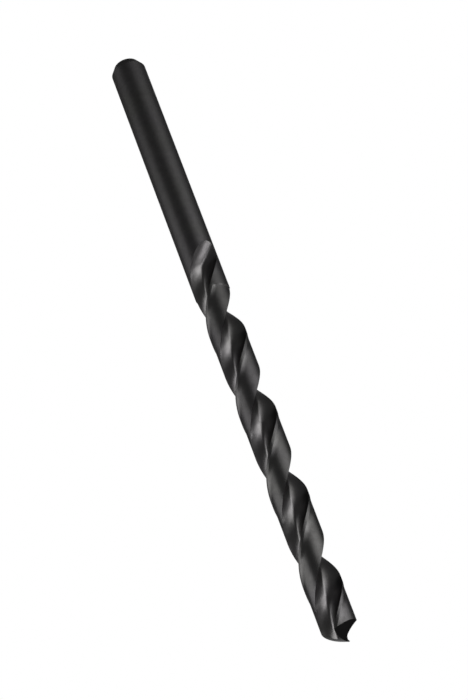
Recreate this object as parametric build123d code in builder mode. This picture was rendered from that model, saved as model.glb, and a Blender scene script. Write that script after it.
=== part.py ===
from build123d import *
import os
from math import acos, asin, atan2, ceil, cos, degrees, pi, radians, sin, sqrt, tan

# Straight-shank twist drill, right-hand, two flutes, ground from one bar. Millimetres.
# It lies on the plane z = 0 with its axis along X and its point towards +X, and the
# origin is under the middle of its length.

# ---- Driving dimensions ----
# Body and shank
diameter = 9.0              # across the margins at the outer corners
overall_length = 175.0      # from the chisel edge to the shank's end face
full_flute_length = 105.4   # from the outer corners to where the flutes' run-out starts
plain_shank_length = 61.0   # from the end face to just short of the flutes
back_taper = 0.06           # the diameter falls by this from the corners to the shank
shank_bevel_length = 2.1    # along the axis
shank_bevel_angle = 30.0    # to the axis

# Flutes
helix_angle = 30.6
web_at_point = 2.1          # core between the flutes, which also keeps the lips apart
web_at_runout = 3.1         # the core thickens towards the shank
root_radius = 1.2           # between the hollow rake face and the straight heel wall
cutter_radius = 36.0        # its imprint ends each flute
cutter_swivel = 40.5        # from the drill's axis to the cutter's plane
cutter_exit_angle = 92.0    # from the lip's direction, the way in which the imprint rises

# Lands
land_angle = 86.0           # from leading edge to heel, about the axis
margin_angle = 9.3          # width of each margin, about the axis
land_relief = 0.2           # depth ground off the lands behind the margins
relief_stop = 8.1           # the relief ends this far ahead of the flutes' run-out

# Point: two cones, each leaning towards its own lip
point_angle = 118.0
grind_cone_angle = 40.0     # half the angle of the cone itself
grind_apex_setback = 7.2    # from the axis back to the cone's apex, along the lip
grind_apex_offset = 2.38    # from the lip to the cone's apex, across it
lip_bearing = 79.7          # of the first lip about the axis, from +Y towards +Z

# ---- Sizes worked out from them ----
radius = diameter / 2
shank_radius = (diameter - back_taper) / 2
land_radius = radius - land_relief
helix = radians(helix_angle)
twist = tan(helix) / radius             # radians for each millimetre of length
half_point = radians(point_angle / 2)
lip_offset = web_at_point / 2           # each lip lies this far ahead of the axis
grind_cone = radians(grind_cone_angle)
grind_lean = half_point - grind_cone


def cone_drop(along, across):
    """Depth of a leaning grinding cone below its apex, measured along and across the lip."""
    width = cos(grind_cone) ** 2
    a = cos(grind_lean) ** 2 - width
    b = along * sin(2 * grind_lean)
    c = along**2 * sin(grind_lean) ** 2 - width * (along**2 + across**2)
    return (sqrt(b**2 - 4 * a * c) - b) / (2 * a)


corner_reach = sqrt(radius**2 - lip_offset**2)
corner_drop = cone_drop(grind_apex_setback + corner_reach, grind_apex_offset)
chisel_drop = cone_drop(grind_apex_setback, lip_offset + grind_apex_offset)
point_height = corner_drop - chisel_drop   # of the chisel edge over the outer corners
corner_x = overall_length / 2 - point_height


swivel = radians(cutter_swivel)
cutter_reach = 1.7                         # clears the bar at either edge of a flute
runout_depth = radius - web_at_runout / 2
imprint_length = sqrt(2 * cutter_radius * runout_depth - runout_depth**2) * cos(swivel)
runout_end = full_flute_length + imprint_length
relief_end = full_flute_length - relief_stop
taper_end = corner_x + overall_length / 2 - plain_shank_length


def imprint_shift(behind):
    """How far the cutter has moved across the last section of the full flute."""
    past = max(behind - full_flute_length, 0)
    rise = cutter_radius - sqrt(cutter_radius**2 - (past / cos(swivel)) ** 2)
    way_out = radians(cutter_exit_angle)
    return polar(rise, way_out) + polar(past * tan(swivel), way_out - pi / 2)


# ---- Sections, measured behind the outer corners ----
def station(behind, half_turn=0):
    """Plane square to the axis, with its x direction turned from the lip's by the helix.

    The helix goes no further than the full flutes, where the drill stops turning.
    """
    turn = twist * min(behind, full_flute_length)
    bearing = radians(lip_bearing) + half_turn * pi - turn
    return Plane(
        origin=(corner_x - behind, 0, radius),
        x_dir=(0, cos(bearing), sin(bearing)),
        z_dir=(1, 0, 0),
    )


def stations(first, last):
    """Evenly spaced distances, at most a sixth of a half turn of helix apart."""
    steps = ceil((last - first) * twist / (pi / 6))
    return [first + (last - first) * i / steps for i in range(steps + 1)]


def polar(r, angle):
    return Vector(r * cos(angle), r * sin(angle))


def body_radius(behind):
    return radius - back_taper / 2 * behind / taper_end


leading_edge = asin(lip_offset / radius) + twist * corner_reach / tan(half_point)
heel = leading_edge + pi - radians(land_angle)
margin_edge = leading_edge - radians(margin_angle)


def flute_points(behind, reach=1):
    """A flute's section: rake end, rake middle, floor, root middle, root end and wall end.

    The rake and the root are arcs that meet along the core, and the wall is straight.
    Both reach the land's edges, or that many times as far.
    """
    share = min(max(behind, 0), full_flute_length) / full_flute_length
    core = (web_at_point + (web_at_runout - web_at_point) * share) / 2
    lead = polar(body_radius(behind), leading_edge)
    rise = lead.Y - core
    rake_radius = (lead.X**2 + rise**2) / (2 * rise)
    rake_centre = Vector(0, core + rake_radius)
    swing = reach * atan2(lead.X, rake_radius - rise)
    root_centre = Vector(0, core + root_radius)
    wall_run = polar(land_radius, heel) - root_centre
    wall_start = atan2(wall_run.Y, wall_run.X) + acos(root_radius / wall_run.length)
    root_end = root_centre + polar(root_radius, wall_start)
    return (
        rake_centre + polar(rake_radius, swing - pi / 2),
        rake_centre + polar(rake_radius, swing / 2 - pi / 2),
        Vector(0, core),
        root_centre + polar(root_radius, (wall_start + 3 * pi / 2) / 2),
        root_end,
        root_end + (polar(land_radius, heel) - root_end) * reach,
    )


# ---- Bar behind the relieved lands: shank, and the flutes' run-out ----
shank_end_x = -overall_length / 2
bevel_depth = shank_bevel_length * tan(radians(shank_bevel_angle))

with BuildPart() as shank:
    with BuildSketch(Plane.XZ):
        with BuildLine():
            Polyline(
                (shank_end_x, radius),
                (shank_end_x, radius + shank_radius - bevel_depth),
                (shank_end_x + shank_bevel_length, radius + shank_radius),
                (shank_end_x + plain_shank_length, radius + shank_radius),
                (corner_x - relief_end, radius + body_radius(relief_end)),
                (corner_x - relief_end, radius),
                close=True,
            )
        make_face()
    revolve(axis=Axis((0, 0, radius), (1, 0, 0)))
    for half_turn in (0, 1):
        for first, last in (relief_end, full_flute_length), (full_flute_length, runout_end):
            for behind in stations(first, last):
                shift = imprint_shift(behind)
                points = [point + shift for point in flute_points(behind, cutter_reach)]
                above = polar(2 * diameter, (leading_edge + heel) / 2) + shift
                with BuildSketch(station(behind, half_turn)):
                    with BuildLine():
                        ThreePointArc(*points[:3])
                        ThreePointArc(*points[2:5])
                        Line(*points[4:])
                        ThreePointArc(points[-1], above, points[0])
                    make_face()
            loft(mode=Mode.SUBTRACT)

# ---- Fluted body with its margins, ground to the point and joined to the bar ----
with BuildPart() as drill_bit:
    for behind in stations(-2 * point_height, relief_end):
        edge = body_radius(behind)
        flute = flute_points(behind)
        with BuildSketch(station(behind)):
            with BuildLine():
                for turn in (0, pi):
                    heel_edge = heel + turn
                    step = margin_edge + pi + turn
                    next_edge = leading_edge + pi + turn
                    points = [point.rotate(Axis.Z, degrees(turn)) for point in flute]
                    ThreePointArc(*points[:3])
                    ThreePointArc(*points[2:5])
                    Line(*points[4:])
                    ThreePointArc(
                        polar(land_radius, heel_edge),
                        polar(land_radius, (heel_edge + step) / 2),
                        polar(land_radius, step),
                    )
                    Line(polar(land_radius, step), polar(edge, step))
                    ThreePointArc(
                        polar(edge, step),
                        polar(edge, (step + next_edge) / 2),
                        polar(edge, next_edge),
                    )
            make_face()
    loft()
    for half_turn in (0, 1):
        apex = (-grind_apex_setback, lip_offset + grind_apex_offset, corner_drop)
        lean = (0, grind_cone_angle - point_angle / 2, 0)
        with Locations(station(0, half_turn).location * Location(apex, lean)):
            Cone(
                bottom_radius=overall_length * tan(grind_cone),
                top_radius=0,
                height=overall_length,
                align=(Align.CENTER, Align.CENTER, Align.MAX),
                mode=Mode.INTERSECT,
            )
    add(shank.part)

os.makedirs("parts", exist_ok=True)
drill_bit.part.label = "drill_bit"
export_step(drill_bit.part, "parts/drill_bit.step")
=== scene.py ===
"""Straight-shank twist drill in black oxide, on a white ground. Metres.

The drill lies along X with its point towards +X. It is made as it is ground: a turned bar
loses two helical flutes and the relief behind each margin, and cones finish its two ends.
"""

from math import asin, cos, pi, radians, sin, sqrt, tan

import bmesh
import bpy
from mathutils import Matrix, Vector


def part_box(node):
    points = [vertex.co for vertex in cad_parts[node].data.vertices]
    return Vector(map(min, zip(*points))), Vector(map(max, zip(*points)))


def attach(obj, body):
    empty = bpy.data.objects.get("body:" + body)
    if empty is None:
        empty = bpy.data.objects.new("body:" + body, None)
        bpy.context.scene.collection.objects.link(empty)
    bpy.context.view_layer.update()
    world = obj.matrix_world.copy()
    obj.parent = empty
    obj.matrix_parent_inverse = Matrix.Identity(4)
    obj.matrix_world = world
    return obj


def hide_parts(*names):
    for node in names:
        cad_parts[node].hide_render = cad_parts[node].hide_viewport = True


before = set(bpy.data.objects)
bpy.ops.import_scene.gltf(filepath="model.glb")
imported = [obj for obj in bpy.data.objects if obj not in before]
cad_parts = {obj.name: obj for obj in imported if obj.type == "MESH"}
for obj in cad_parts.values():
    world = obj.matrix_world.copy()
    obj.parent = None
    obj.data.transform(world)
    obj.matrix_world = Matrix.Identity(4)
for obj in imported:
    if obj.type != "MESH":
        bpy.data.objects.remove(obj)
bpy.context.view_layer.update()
mm = 0.001

# ---- Body and shank ----
lowest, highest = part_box("drill_bit")
overall_length = highest.x - lowest.x
diameter = 9.0 * mm  # across the margins at the outer corners
full_flute_length = 105.4 * mm  # from the outer corners to where the flutes' run-out starts
plain_shank_length = 61.0 * mm  # from the end face to just short of the flutes
back_taper = 0.06 * mm  # the diameter falls by this from the corners to the shank
shank_bevel_length = 2.1 * mm
shank_bevel_angle = radians(30)

# ---- Flutes ----
helix = radians(30.6)
web_at_point = 2.1 * mm  # core between the flutes
web_at_runout = 3.1 * mm
root_radius = 1.2 * mm  # between the rake face and the heel wall
wall_hollow = radians(12)  # the root's arc stops this far short, and the heel wall bends on
cutter_radius = 36.0 * mm  # its imprint ends each flute
cutter_swivel = radians(40.5)  # from the drill's axis to the cutter's plane
cutter_exit = radians(92)  # from the lip's direction, the way in which the imprint rises

# ---- Lands ----
land_angle = radians(86)  # from leading edge to heel, about the axis
margin_angle = radians(9.3)
land_relief = 0.2 * mm  # depth ground off the lands behind the margins
relief_stop = 8.1 * mm  # the relief ends this far ahead of the flutes' run-out
relief_slope = 1.4 * mm  # width of the relief's slope up to the margin
relief_end_slope = 0.5 * mm  # length of its slope up to its end

# ---- Point ----
half_point = radians(59)
grind_cone = radians(40)  # half the angle of the cone itself
grind_apex_setback = 7.2 * mm  # from the axis back to the cone's apex, along the lip
grind_apex_offset = 2.38 * mm  # from the lip to the cone's apex, across it
lip_bearing = radians(79.7)  # of the first lip about the axis, from +Y towards +Z

# ---- Grinding wheels, which carry on past what they cut ----
over_cut = 1.7  # the flute cutter's section reaches this many times as far as the land's edges
heel_lap = radians(12)  # the relief wheel starts this far inside the flute
relief_outside = diameter  # from the axis to the far side of the relief wheel's section
relief_pole = 0.9 * relief_outside
bevel_cone_length = 1.2 * overall_length

# ---- Fineness of the meshes ----
flute_step = 0.5 * mm  # between sections of a flute
relief_step = 0.4 * mm  # between sections of a relief
rake_end, root_end, wall_end, flute_back_end = 28, 40, 58, 70  # columns of a flute's section
land_end, relief_back_start, relief_back_end = 40, 41, 53  # columns of a relief's section
bar_sides = 512
bar_segments = 40
cone_sides = 720
tent_segments = 64
weld = 0.001 * mm  # joins a cutter's seam and poles
fine_weld = 0.0001 * mm  # joins what the cuts leave
sharp_angle = radians(18)

# ---- Finish of the steel ----
land_surface, flute_surface, flank_surface = 0, 1, 2  # which grinding left a face
land_colour = (0.036, 0.0355, 0.0355)
flute_colour = (0.05, 0.049, 0.049)
flank_colour = (0.02, 0.02, 0.02)
edge_tint = (0.5, 0.5, 0.5, 1.0)  # the oxide keeps the steel dark at a grazing angle
noise_roughness = 0.6
land_roughness = 0.35
flute_roughness = 0.31
line_step = 0.09 * mm  # between grinding lines
line_length = 2.4 * mm
line_depth = 0.00015 * mm
line_detail = 2.0
line_shade = (0.93, 1.07)
line_polish = (-0.015, 0.015)
patch_size = 1.6 * mm
patch_detail = 4.0
patch_spread = (0.3, 0.7)
patch_shade = (0.86, 1.12)
patch_polish = (0.02, -0.02)
cast_size = 9.0 * mm  # of warmer and cooler parts of the oxide
cast_detail = 1.0
cast_spread = (0.35, 0.65)
warm_cast = (1.0, 1.0, 0.98)
cool_cast = (1.01, 0.99, 1.015)

# ---- Studio ----
# Each lamp as the drill sees it: degrees from +X, degrees round the drill from straight up
# towards +Y, width and height in degrees, and radiance.
softboxes = {
    "right_softbox": (97, 47, 26, 40, 6.6),
    "right_diffuser": (110, 50, 28, 80, 3.2),
    "left_softbox": (91, -77, 28, 42, 5.8),
    "left_diffuser": (109, -89, 26, 68, 3.7),
    "front_softbox": (43, -25, 22, 24, 4.0),
    "low_strip": (70, 40, 18, 60, 0.7),
    "edge_strip": (66, 65, 15, 21, 11.0),
    "far_strip": (86, 104, 17, 24, 2.0),
}
lamp_distance = 1.5
world_level = 0.4  # as a light, under a white of 1 to the eye
tent_radius = 3.0
tent_opening = 2.85  # the tent is cut off this far below the drill
tent_level = 0.3

# ---- Camera ----
camera_aim = Vector((5.26 * mm, 0.03 * mm, 4.5 * mm))
camera_azimuth = radians(72.61)  # from straight in front, towards the point
camera_height = radians(55.65)  # above the horizon
camera_distance = 644.6 * mm
camera_lens = 138.29
camera_reach = 10.0

# ---- Sizes worked out from them ----
radius = diameter / 2
shank_radius = radius - back_taper / 2
twist = tan(helix) / radius  # radians of helix for each metre of length
lip_offset = web_at_point / 2
grind_lean = half_point - grind_cone


def cone_drop(along, across):
    """Depth of a leaning grinding cone below its apex, measured along and across the lip."""
    width = cos(grind_cone) ** 2
    a = cos(grind_lean) ** 2 - width
    b = along * sin(2 * grind_lean)
    c = along**2 * sin(grind_lean) ** 2 - width * (along**2 + across**2)
    return (sqrt(b**2 - 4 * a * c) - b) / (2 * a)


corner_reach = sqrt(radius**2 - lip_offset**2)
corner_drop = cone_drop(grind_apex_setback + corner_reach, grind_apex_offset)
point_height = corner_drop - cone_drop(grind_apex_setback, lip_offset + grind_apex_offset)
corner_x = highest.x - point_height
relief_end = full_flute_length - relief_stop
taper_end = corner_x - lowest.x - plain_shank_length
runout_depth = radius - web_at_runout / 2
imprint_length = sqrt(2 * cutter_radius * runout_depth - runout_depth**2) * cos(cutter_swivel)
leading_edge = asin(lip_offset / radius) + twist * corner_reach / tan(half_point)
heel = leading_edge + pi - land_angle
margin_edge = leading_edge - margin_angle


# ---- Node trees written as expressions ----
class Value:
    """An output socket. Arithmetic on it adds the Math nodes that work it out."""

    def __init__(self, graph, socket):
        self.graph = graph
        self.socket = socket

    def math(self, operation, *others):
        return self.graph.node("ShaderNodeMath", {"operation": operation}, (self, *others))

    def out(self, name):
        """Another output of the same node."""
        return Value(self.graph, self.socket.node.outputs[name])

    def __add__(self, other):
        return self.math("ADD", other)

    def __sub__(self, other):
        return self.math("SUBTRACT", other)

    def __mul__(self, other):
        return self.math("MULTIPLY", other)

    def __truediv__(self, other):
        return self.math("DIVIDE", other)

    def __pow__(self, other):
        return self.math("POWER", other)

    def __radd__(self, other):
        return self + other

    def __rmul__(self, other):
        return self * other

    def __rsub__(self, other):
        return self.graph.number(other) - self

    def __rtruediv__(self, other):
        return self.graph.number(other) / self

    def __gt__(self, other):
        return self.math("GREATER_THAN", other)

    def __lt__(self, other):
        return self.math("LESS_THAN", other)

    def sin(self):
        return self.math("SINE")

    def cos(self):
        return self.math("COSINE")

    def acos(self):
        return self.math("ARCCOSINE")

    def sqrt(self):
        return self.math("SQRT")

    def atan2(self, other):
        return self.math("ARCTAN2", other)

    def least(self, other):
        return self.math("MINIMUM", other)

    def most(self, other):
        return self.math("MAXIMUM", other)

    def between(self, low, high):
        """0 at low, 1 at high, and held beyond both."""
        return ((self - low) / (high - low)).most(0).least(1)

    def blend(self, low, high):
        """Low where this is 0, high where it is 1."""
        return low + (high - low) * self


class Graph:
    """A node tree, and the one method that adds nodes to it."""

    def __init__(self, tree):
        self.tree = tree

    def node(self, kind, settings=None, sockets=()):
        """Adds a node and returns its first live output.

        Sockets are given in order or by name, as values, links or lists of links.
        """
        node = self.tree.nodes.new(kind)
        for name, setting in (settings or {}).items():
            setattr(node, name, setting)
        live = [socket for socket in node.inputs if socket.enabled]
        named = {socket.name: socket for socket in reversed(live)}
        pairs = (
            [(named[name], value) for name, value in sockets.items()]
            if isinstance(sockets, dict)
            else zip(live, sockets)
        )
        for socket, value in pairs:
            for item in value if isinstance(value, list) else [value]:
                if isinstance(item, Value):
                    self.tree.links.new(item.socket, socket)
                else:
                    socket.default_value = item
        outputs = [socket for socket in node.outputs if socket.enabled]
        return Value(self, outputs[0]) if outputs else None

    def number(self, value):
        node = self.tree.nodes.new("ShaderNodeValue")
        node.outputs[0].default_value = value
        return Value(self, node.outputs[0])

    def split(self, vector):
        """The x, y and z of a vector."""
        x = self.node("ShaderNodeSeparateXYZ", {}, [vector])
        return x, x.out("Y"), x.out("Z")

    def joined(self, x, y, z):
        return self.node("ShaderNodeCombineXYZ", {}, [x, y, z])


def emptied(owner):
    """The node graph of a material or world, without the nodes that it comes with."""
    owner.use_nodes = True
    owner.node_tree.nodes.clear()
    return Graph(owner.node_tree)


# ---- Grinding, with the drill's axis along Z ----
def placed(graph, kind, settings, sockets, position):
    """A mesh primitive with each vertex sent to the place worked out from its own."""
    mesh = graph.node(kind, settings, sockets)
    x, y, z = graph.split(graph.node("GeometryNodeInputPosition"))
    spot = graph.joined(*position(x, y, z))
    return graph.node("GeometryNodeSetPosition", {}, {"Geometry": mesh, "Position": spot})


def moved(graph, mesh, translation=(0, 0, 0), rotation=(0, 0, 0)):
    """The mesh turned and then shifted."""
    sockets = {"Geometry": mesh, "Translation": translation, "Rotation": rotation}
    return graph.node("GeometryNodeTransform", {}, sockets)


def welded(graph, mesh, distance):
    return graph.node("GeometryNodeMergeByDistance", {}, {"Geometry": mesh, "Distance": distance})


def marked(graph, mesh, surface):
    """The mesh with its faces numbered, so that the steel they leave is known later."""
    settings = {"data_type": "FLOAT", "domain": "FACE"}
    number = {"Geometry": mesh, "Name": "ground_by", "Value": float(surface)}
    return graph.node("GeometryNodeStoreNamedAttribute", settings, number)


def both(graph, mesh):
    """A mesh and its copy half a turn round the axis."""
    return [mesh, moved(graph, mesh, rotation=(0, 0, pi))]


def boolean(graph, operation, sockets):
    settings = {"solver": "MANIFOLD", "operation": operation}
    return graph.node("GeometryNodeMeshBoolean", settings, sockets)


def body_radius(size, behind):
    """The tapering body's radius at a distance behind the outer corners."""
    return size["Diameter"] / 2 - size["Back taper"] / 2 * behind.between(0, size["Taper end"])


def turned_bar(graph, size):
    """The bar before grinding, past the point at one end and cut square at the other."""

    def position(x, y, z):
        wide = body_radius(size, size["Corner"] - z - point_height / 2)
        return x * wide, y * wide, z + point_height / 2

    bar = {
        "Vertices": bar_sides,
        "Side Segments": bar_segments,
        "Radius": 1.0,
        "Depth": overall_length + point_height,
    }
    settings = {"fill_type": "TRIANGLE_FAN"}
    mesh = placed(graph, "GeometryNodeMeshCylinder", settings, bar, position)
    return marked(graph, mesh, land_surface)


def swept(graph, size, last, step, columns, section):
    """A closed helical solid through sections square to the axis, with a pole at each end.

    It starts ahead of the point. The section gives x and y for a column number and a
    distance behind the outer corners, and the pole of its end faces.
    """
    first = -2 * point_height
    rows = int((last - first) / step) + 3

    def position(x, y, z):
        row = x + (rows - 1) / 2
        column = y + (columns - 1) / 2
        behind = first + (last - first) * row.between(1, rows - 2)
        capped = (row < 0.5) + (row > rows - 1.5)
        (across, up), (pole_across, pole_up) = section(size, column, behind)
        across = across + (pole_across - across) * capped
        up = up + (pole_up - up) * capped
        turn = size["Lip bearing"] - size["Twist"] * behind.least(size["Full flute"])
        return (
            across * turn.cos() - up * turn.sin(),
            across * turn.sin() + up * turn.cos(),
            size["Corner"] - behind,
        )

    grid = {
        "Size X": rows - 1.0,
        "Size Y": columns - 1.0,
        "Vertices X": rows,
        "Vertices Y": columns,
    }
    shell = placed(graph, "GeometryNodeMeshGrid", {}, grid, position)
    outwards = graph.node("GeometryNodeFlipFaces", {}, [shell])
    return welded(graph, outwards, weld)


def cutter_shift(size, behind):
    """How far the flute cutter has moved across the last section of the full flute."""
    past = (behind - size["Full flute"]).most(0)
    along = past / size["Cutter swivel"].cos()
    rise = size["Cutter radius"] - (size["Cutter radius"] ** 2 - along**2).sqrt()
    drift = along * size["Cutter swivel"].sin()
    way_out = size["Cutter exit"]
    return (
        rise * way_out.cos() + drift * way_out.sin(),
        rise * way_out.sin() - drift * way_out.cos(),
    )


def flute_section(size, column, behind):
    """Rake arc down to the core, root arc, hollow heel wall, and back outside the bar."""
    downwards = 1.5 * pi
    land = size["Diameter"] / 2 - size["Land relief"]
    deepening = behind.between(0, size["Full flute"])
    core = deepening.blend(size["Web at point"], size["Web at run-out"]) / 2
    edge = body_radius(size, behind)
    lead_x = edge * size["Leading edge"].cos()
    lead_rise = edge * size["Leading edge"].sin() - core
    rake_radius = (lead_x**2 + lead_rise**2) / (2 * lead_rise)
    swing = lead_x.atan2(rake_radius - lead_rise) * over_cut
    rake_turn = swing * (1 - column.between(0, rake_end))

    root = size["Root radius"]
    heel_x = land * size["Heel"].cos()
    heel_rise = land * size["Heel"].sin() - core - root
    straight = heel_rise.atan2(heel_x) + (root / (heel_x**2 + heel_rise**2).sqrt()).acos()
    root_stop = straight + size["Wall hollow"]
    root_turn = column.between(rake_end, root_end).blend(downwards, root_stop)

    chord_x = heel_x - root * root_stop.cos()
    chord_y = heel_rise - root * root_stop.sin()
    half_bend = root_stop - pi / 2 - chord_y.atan2(chord_x)
    wall_radius = (chord_x**2 + chord_y**2).sqrt() / (2 * half_bend.sin())
    wall_stop = root_stop - 2 * over_cut * half_bend

    def wall(turn):
        """From the root's end to where the wall has turned so far."""
        return (
            wall_radius * (turn.cos() - root_stop.cos()),
            wall_radius * (turn.sin() - root_stop.sin()),
        )

    wall_x, wall_y = wall(column.between(root_end, wall_end).blend(root_stop, wall_stop))
    x = rake_radius * rake_turn.sin() + root * root_turn.cos() + wall_x
    y = core + rake_radius - rake_radius * rake_turn.cos() + root + root * root_turn.sin() + wall_y

    start_x = rake_radius * swing.sin()
    start_y = core + rake_radius - rake_radius * swing.cos()
    whole_x, whole_y = wall(wall_stop)
    end_x = root * root_stop.cos() + whole_x
    end_y = core + root + root * root_stop.sin() + whole_y
    back = column.between(wall_end, flute_back_end)
    bulge = (back * pi).sin() * size["Diameter"]
    shift_x, shift_y = cutter_shift(size, behind)
    return (
        (x + (start_x - end_x) * back + shift_x, y + (start_y - end_y) * back + bulge + shift_y),
        (shift_x, size["Diameter"] + shift_y),
    )


def relief_section(size, column, behind):
    """Round the land from the flute to the margin, and back outside the bar.

    The relief slopes out up to the margin, and at its end.
    """
    body = size["Diameter"] / 2
    step = size["Margin edge"] + pi
    start = size["Heel"] - heel_lap
    middle = (step + start) / 2
    there = column.between(0, land_end)
    back = column.between(relief_back_start, relief_back_end)
    angle = start + (step - start) * (there - back)
    slope = angle.between(step - relief_slope / radius, step)
    end = size["Relief end"]
    slope = slope.most(behind.between(end - relief_end_slope, end))
    floor = body - size["Land relief"] + size["Land relief"] * slope**2
    out = column.between(land_end, relief_back_start)
    out = out - column.between(relief_back_end, relief_back_end + 1)
    reach = out.blend(floor, relief_outside)
    return (
        (reach * angle.cos(), reach * angle.sin()),
        (relief_pole * middle.cos(), relief_pole * middle.sin()),
    )


def cone(graph, half_angle, height, surface):
    """A solid cone with its apex at the centre, opening towards -Z."""
    base = {
        "Vertices": cone_sides,
        "Radius Top": 0.0,
        "Radius Bottom": height * tan(half_angle),
        "Depth": height,
    }
    mesh = graph.node("GeometryNodeMeshCone", {"fill_type": "TRIANGLE_FAN"}, base)
    return moved(graph, marked(graph, mesh, surface), (0, 0, -height))


def grinding_cones(graph):
    """The leaning cone that leaves each lip's flank."""
    apex = (-grind_apex_setback, lip_offset + grind_apex_offset, corner_drop)
    upright = cone(graph, grind_cone, overall_length, flank_surface)
    leaning = moved(graph, upright, apex, (0, -grind_lean, 0))
    return both(graph, moved(graph, leaning, (0, 0, corner_x), (0, 0, lip_bearing)))


def bevel_cone(graph):
    """The cone that bevels the shank's end."""
    end_radius = shank_radius - shank_bevel_length * tan(shank_bevel_angle)
    apex = lowest.x - end_radius / tan(shank_bevel_angle)
    upright = cone(graph, shank_bevel_angle, bevel_cone_length, land_surface)
    return moved(graph, upright, (0, 0, apex), (pi, 0, 0))


def ground_drill(graph, size):
    """The bar with its flutes and relief cut, and both of its ends ground."""
    flute_end = full_flute_length + imprint_length
    flute = swept(graph, size, flute_end, flute_step, flute_back_end + 1, flute_section)
    flute = marked(graph, flute, flute_surface)
    relief = swept(graph, size, relief_end, relief_step, relief_back_end + 2, relief_section)
    relief = marked(graph, relief, land_surface)
    cutters = both(graph, flute) + both(graph, relief)
    fluted = boolean(graph, "DIFFERENCE", {"Mesh 1": turned_bar(graph, size), "Mesh 2": cutters})
    whole = [fluted, *grinding_cones(graph), bevel_cone(graph)]
    return welded(graph, boolean(graph, "INTERSECT", [whole]), fine_weld)


def laid_down(graph, size, mesh):
    """The drill turned from along Z to along X, lying on the ground."""
    x, y, z = graph.split(graph.node("GeometryNodeInputPosition"))
    lying = graph.joined(z, x, y + size["Diameter"] / 2)
    return graph.node("GeometryNodeSetPosition", {}, {"Geometry": mesh, "Position": lying})


def smoothed(graph, mesh):
    """Smooth faces with sharp edges between them."""
    sharp = graph.node("GeometryNodeInputMeshEdgeAngle") > sharp_angle
    faces = {"Geometry": mesh, "Shade Smooth": True}
    smooth = graph.node("GeometryNodeSetShadeSmooth", {"domain": "FACE"}, faces)
    edges = {"Geometry": smooth, "Selection": sharp, "Shade Smooth": False}
    return graph.node("GeometryNodeSetShadeSmooth", {"domain": "EDGE"}, edges)


def drill_tree():
    """Geometry nodes that grind the drill from a bar, and the sizes that they take."""
    tree = bpy.data.node_groups.new("ground_drill", "GeometryNodeTree")
    tree.interface.new_socket("Geometry", in_out="OUTPUT", socket_type="NodeSocketGeometry")
    sizes = {
        "Diameter": diameter,
        "Back taper": back_taper,
        "Corner": corner_x,
        "Twist": twist,
        "Lip bearing": lip_bearing,
        "Web at point": web_at_point,
        "Web at run-out": web_at_runout,
        "Root radius": root_radius,
        "Wall hollow": wall_hollow,
        "Leading edge": leading_edge,
        "Heel": heel,
        "Margin edge": margin_edge,
        "Land relief": land_relief,
        "Relief end": relief_end,
        "Taper end": taper_end,
        "Full flute": full_flute_length,
        "Cutter radius": cutter_radius,
        "Cutter swivel": cutter_swivel,
        "Cutter exit": cutter_exit,
    }
    for name in sizes:
        tree.interface.new_socket(name, in_out="INPUT", socket_type="NodeSocketFloat")
    tree.interface.new_socket("Steel", in_out="INPUT", socket_type="NodeSocketMaterial")
    graph = Graph(tree)
    given = graph.node("NodeGroupInput")
    size = {name: given.out(name) for name in sizes}
    drill = smoothed(graph, laid_down(graph, size, ground_drill(graph, size)))
    real = graph.node("GeometryNodeRealizeInstances", {}, {"Geometry": drill})
    steel = {"Geometry": real, "Material": given.out("Steel")}
    graph.node("NodeGroupOutput", {}, [graph.node("GeometryNodeSetMaterial", {}, steel)])
    return tree, sizes


def grown(name, tree, sizes, material):
    """The plain mesh object that a geometry tree makes."""
    piece = bpy.data.objects.new(name, bpy.data.meshes.new(name))
    bpy.context.scene.collection.objects.link(piece)
    maker = piece.modifiers.new("maker", "NODES")
    maker.node_group = tree
    for socket in tree.interface.items_tree:
        if socket.in_out == "INPUT":
            maker[socket.identifier] = sizes.get(socket.name, material)
    bpy.context.view_layer.update()
    evaluated = bpy.context.evaluated_depsgraph_get()
    mesh = bpy.data.meshes.new_from_object(piece.evaluated_get(evaluated), depsgraph=evaluated)
    piece.modifiers.clear()
    piece.data = mesh
    mesh.name = name
    return piece


# ---- Black oxide ----
def noise(graph, x, y, z, detail):
    """Noise from 0 to 1 over a point given in its own steps."""
    point = graph.joined(x, y, z)
    sockets = {"Vector": point, "Scale": 1.0, "Detail": detail, "Roughness": noise_roughness}
    return graph.node("ShaderNodeTexNoise", {}, sockets)


def mixed(graph, amount, low, high, blend_type="MIX"):
    """Two colours mixed or multiplied."""
    settings = {"data_type": "RGBA", "blend_type": blend_type}
    return graph.node("ShaderNodeMix", settings, {"Factor": amount, "A": low, "B": high})


def lines_along_flutes(graph, x, y, z):
    """Lines that follow the helix."""
    turn = x * twist
    across = y * turn.cos() + z * turn.sin()
    up = z * turn.cos() - y * turn.sin()
    return noise(graph, across / line_step, up / line_step, x / line_length, line_detail)


def lines_round_bar(graph, x, y, z):
    """Lines round the lands and the shank."""
    return noise(graph, x / line_step, y / line_length, z / line_length, line_detail)


def lines_on_flanks(graph, x, y, z):
    """Arcs about the axis of the cone that ground each flank."""
    lip_across = y * cos(lip_bearing) + z * sin(lip_bearing)
    lip_up = z * cos(lip_bearing) - y * sin(lip_bearing)
    side = (lip_up > 0).blend(-1.0, 1.0)
    from_apex_across = lip_across * side + grind_apex_setback
    from_apex_up = lip_up * side - lip_offset - grind_apex_offset
    swing = (from_apex_across**2 + from_apex_up**2).sqrt()
    return noise(graph, swing / line_step, x / line_length, side, line_detail)


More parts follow.
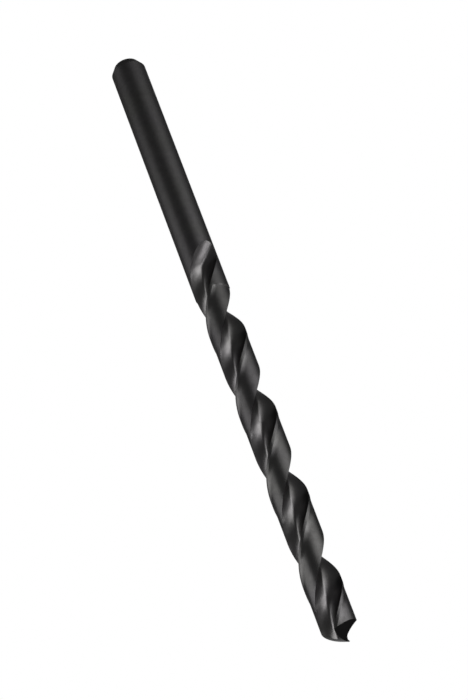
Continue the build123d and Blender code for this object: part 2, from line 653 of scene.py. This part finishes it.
def black_oxide():
    """Black oxide over ground steel, with the lines that each grinding wheel left."""
    material = bpy.data.materials.new("black_oxide_steel")
    graph = emptied(material)
    x, y, z = graph.split(graph.node("ShaderNodeTexCoord").out("Object"))
    z = z - radius
    ground_by = graph.node("ShaderNodeAttribute", {"attribute_name": "ground_by"}).out("Fac")
    flank = ground_by > flank_surface - 0.5
    flute = (ground_by > flute_surface - 0.5) - flank

    lines = flute.blend(lines_round_bar(graph, x, y, z), lines_along_flutes(graph, x, y, z))
    lines = flank.blend(lines, lines_on_flanks(graph, x, y, z))
    patches = noise(graph, x / patch_size, y / patch_size, z / patch_size, patch_detail)
    patches = patches.between(*patch_spread)
    cast = noise(graph, x / cast_size, y / cast_size, z / cast_size, cast_detail)
    cast = cast.between(*cast_spread)

    colour = mixed(graph, flute, (*land_colour, 1), (*flute_colour, 1))
    colour = mixed(graph, flank, colour, (*flank_colour, 1))
    tint = mixed(graph, cast, (*warm_cast, 1), (*cool_cast, 1))
    colour = mixed(graph, 1.0, colour, tint, "MULTIPLY")
    shade = {"Vector": colour, "Scale": patches.blend(*patch_shade) * lines.blend(*line_shade)}
    colour = graph.node("ShaderNodeVectorMath", {"operation": "SCALE"}, shade)
    roughness = flute.blend(land_roughness, flute_roughness)
    roughness = roughness + patches.blend(*patch_polish) + lines.blend(*line_polish)
    scratches = {"Strength": 1.0, "Distance": line_depth, "Height": lines}
    steel = {
        "Base Color": colour,
        "Metallic": 1.0,
        "Roughness": roughness,
        "Specular Tint": edge_tint,
        "Normal": graph.node("ShaderNodeBump", {}, scratches),
    }
    shader = graph.node("ShaderNodeBsdfPrincipled", {}, steel)
    graph.node("ShaderNodeOutputMaterial", {}, [shader])
    return material


drill = grown("ground_drill_bit", *drill_tree(), black_oxide())
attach(drill, "root")
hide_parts("drill_bit")


# ---- Lamps, world and tent ----
def all_round(along, round_axis):
    """The direction at an angle from +X, and at one round it from straight up towards +Y."""
    return Vector((
        cos(along),
        sin(along) * sin(round_axis),
        sin(along) * cos(round_axis),
    ))


def softbox(name, along, round_axis, width, height, radiance):
    """A rectangular lamp facing the drill, its height running round the drill's axis."""
    lamp = bpy.data.lights.new(name, "AREA")
    lamp.shape = "RECTANGLE"
    lamp.size = 2 * lamp_distance * tan(width / 2)
    lamp.size_y = 2 * lamp_distance * tan(height / 2)
    lamp.energy = radiance * pi * lamp.size * lamp.size_y
    box = bpy.data.objects.new(name, lamp)
    bpy.context.scene.collection.objects.link(box)
    towards = all_round(along, round_axis)
    across = all_round(along + pi / 2, round_axis)
    up = towards.cross(across)
    box.matrix_world = Matrix((across, up, towards)).transposed().to_4x4()
    box.location = Vector((0, 0, radius)) + towards * lamp_distance
    box.visible_camera = False


def white_world():
    """Pure white where it is seen or mirrored, and dimmer where it lights."""
    world = bpy.data.worlds.new("studio")
    bpy.context.scene.world = world
    graph = emptied(world)
    camera_ray = graph.node("ShaderNodeLightPath")
    glossy_ray = camera_ray.out("Is Glossy Ray")
    seen = camera_ray.most(glossy_ray).most(camera_ray.out("Is Transmission Ray"))
    sky = {"Color": (1, 1, 1, 1), "Strength": seen.blend(world_level, 1.0)}
    graph.node("ShaderNodeOutputWorld", {}, [graph.node("ShaderNodeBackground", {}, sky)])


def grey_tent():
    """A grey tent round the drill, open below, where the metal sees the white ground."""
    tent = bpy.data.meshes.new("grey_tent")
    shell = bmesh.new()
    rings = tent_segments // 2
    bmesh.ops.create_uvsphere(shell, u_segments=tent_segments, v_segments=rings, radius=tent_radius)
    low = [vertex for vertex in shell.verts if vertex.co.z < -tent_opening]
    bmesh.ops.delete(shell, geom=low, context="VERTS")
    shell.to_mesh(tent)
    shell.free()
    material = bpy.data.materials.new("tent_grey")
    graph = emptied(material)
    glow = graph.node("ShaderNodeEmission", {}, {"Color": (1, 1, 1, 1), "Strength": tent_level})
    graph.node("ShaderNodeOutputMaterial", {}, [glow])
    tent.materials.append(material)
    piece = bpy.data.objects.new("grey_tent", tent)
    bpy.context.scene.collection.objects.link(piece)
    piece.visible_camera = False
    return piece


for name, (*angles, radiance) in softboxes.items():
    softbox(name, *map(radians, angles), radiance)
white_world()
grey_tent()

# ---- Camera ----
away = Vector((
    sin(camera_azimuth) * cos(camera_height),
    -cos(camera_azimuth) * cos(camera_height),
    sin(camera_height),
))
camera = bpy.data.objects.new("camera", bpy.data.cameras.new("camera"))
bpy.context.scene.collection.objects.link(camera)
camera.location = camera_aim + away * camera_distance
camera.rotation_mode = "QUATERNION"
camera.rotation_quaternion = away.to_track_quat("Z", "Y")
camera.data.lens = camera_lens
camera.data.clip_start = 10 * mm
camera.data.clip_end = camera_reach
bpy.context.scene.camera = camera
bpy.context.scene.view_settings.view_transform = "Standard"
